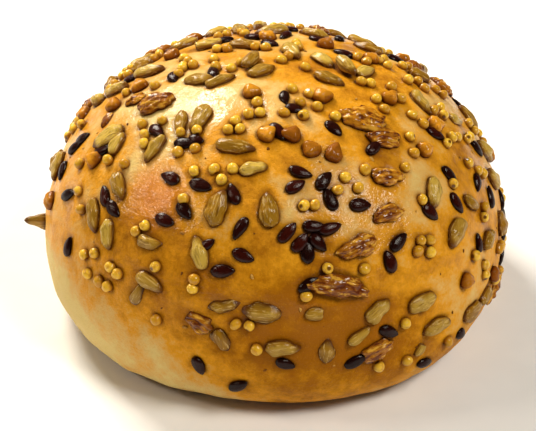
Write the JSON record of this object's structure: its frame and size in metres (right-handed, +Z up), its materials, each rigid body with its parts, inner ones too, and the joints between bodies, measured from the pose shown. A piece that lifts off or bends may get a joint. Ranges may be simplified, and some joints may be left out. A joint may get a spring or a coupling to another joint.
{
  "type": "bread roll",
  "caption": "Round domed bread roll with a glazed golden crust, its crown covered in mixed seeds and toasted grain flakes.",
  "frame": {"origin": "middle of the flat foot that the roll rests on", "axes": "+Z up through the crown, -Y towards the side shown in front, +X to its right"},
  "size_m": [0.1042, 0.1014, 0.0581],
  "materials": {
    "crust": "satin egg-washed crust",
    "sunflower_kernel": "satin olive-brown kernel",
    "grain_flake": "rough toasted flake",
    "buckwheat_groat": "satin tan groat",
    "linseed_skin": "glossy dark brown seed",
    "millet_skin": "satin yellow grain"
  },
  "bodies": {
    "root": {"bread_roll": "crust"}
  },
  "joints": []
}
